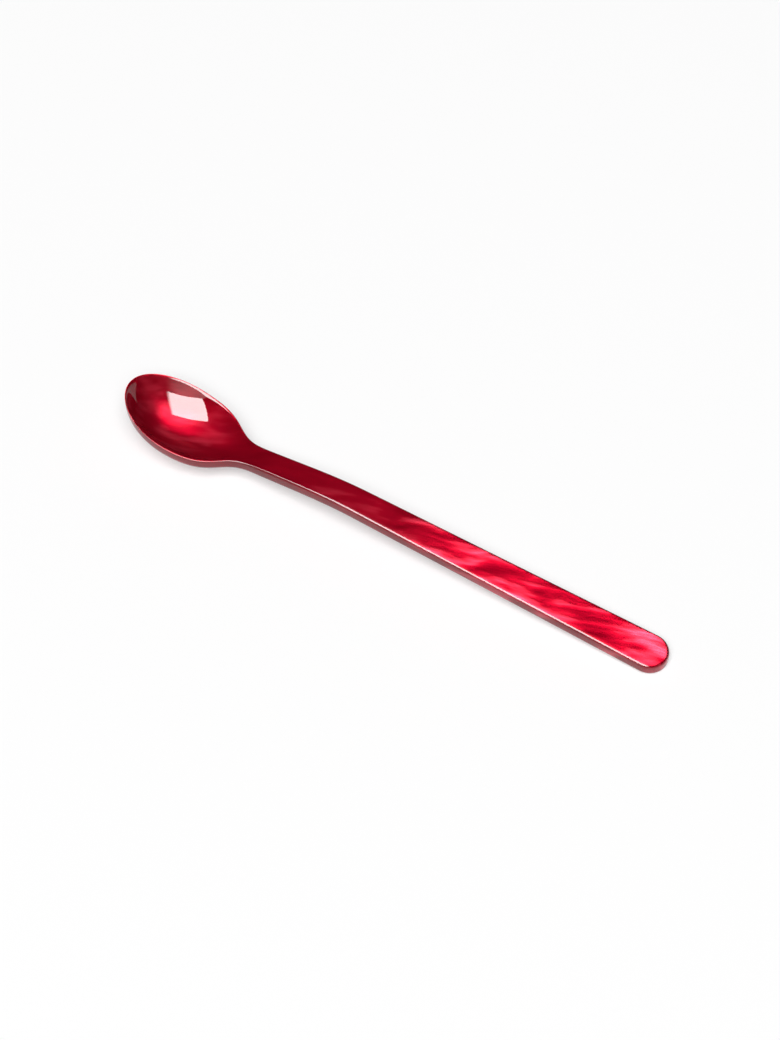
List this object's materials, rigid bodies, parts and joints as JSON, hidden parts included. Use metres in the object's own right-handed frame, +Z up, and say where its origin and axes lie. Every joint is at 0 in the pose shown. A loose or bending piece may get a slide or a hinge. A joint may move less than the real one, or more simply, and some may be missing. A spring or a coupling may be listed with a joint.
{
  "type": "egg spoon",
  "caption": "Slim egg spoon of glossy red pearl plastic, with a small oval bowl, a narrow neck and a flat handle that widens to a rounded end.",
  "frame": {"origin": "on the table, under the middle of the spoon's length", "axes": "+X along the spoon towards the end of the handle, +Z up, out of the open side of the bowl"},
  "size_m": [0.135, 0.0182, 0.0126],
  "materials": {
    "pearl_plastic": "polished pearlescent red, brushed-looking swirls in the sheet"
  },
  "bodies": {
    "root": {"spoon": "pearl_plastic"}
  },
  "joints": []
}
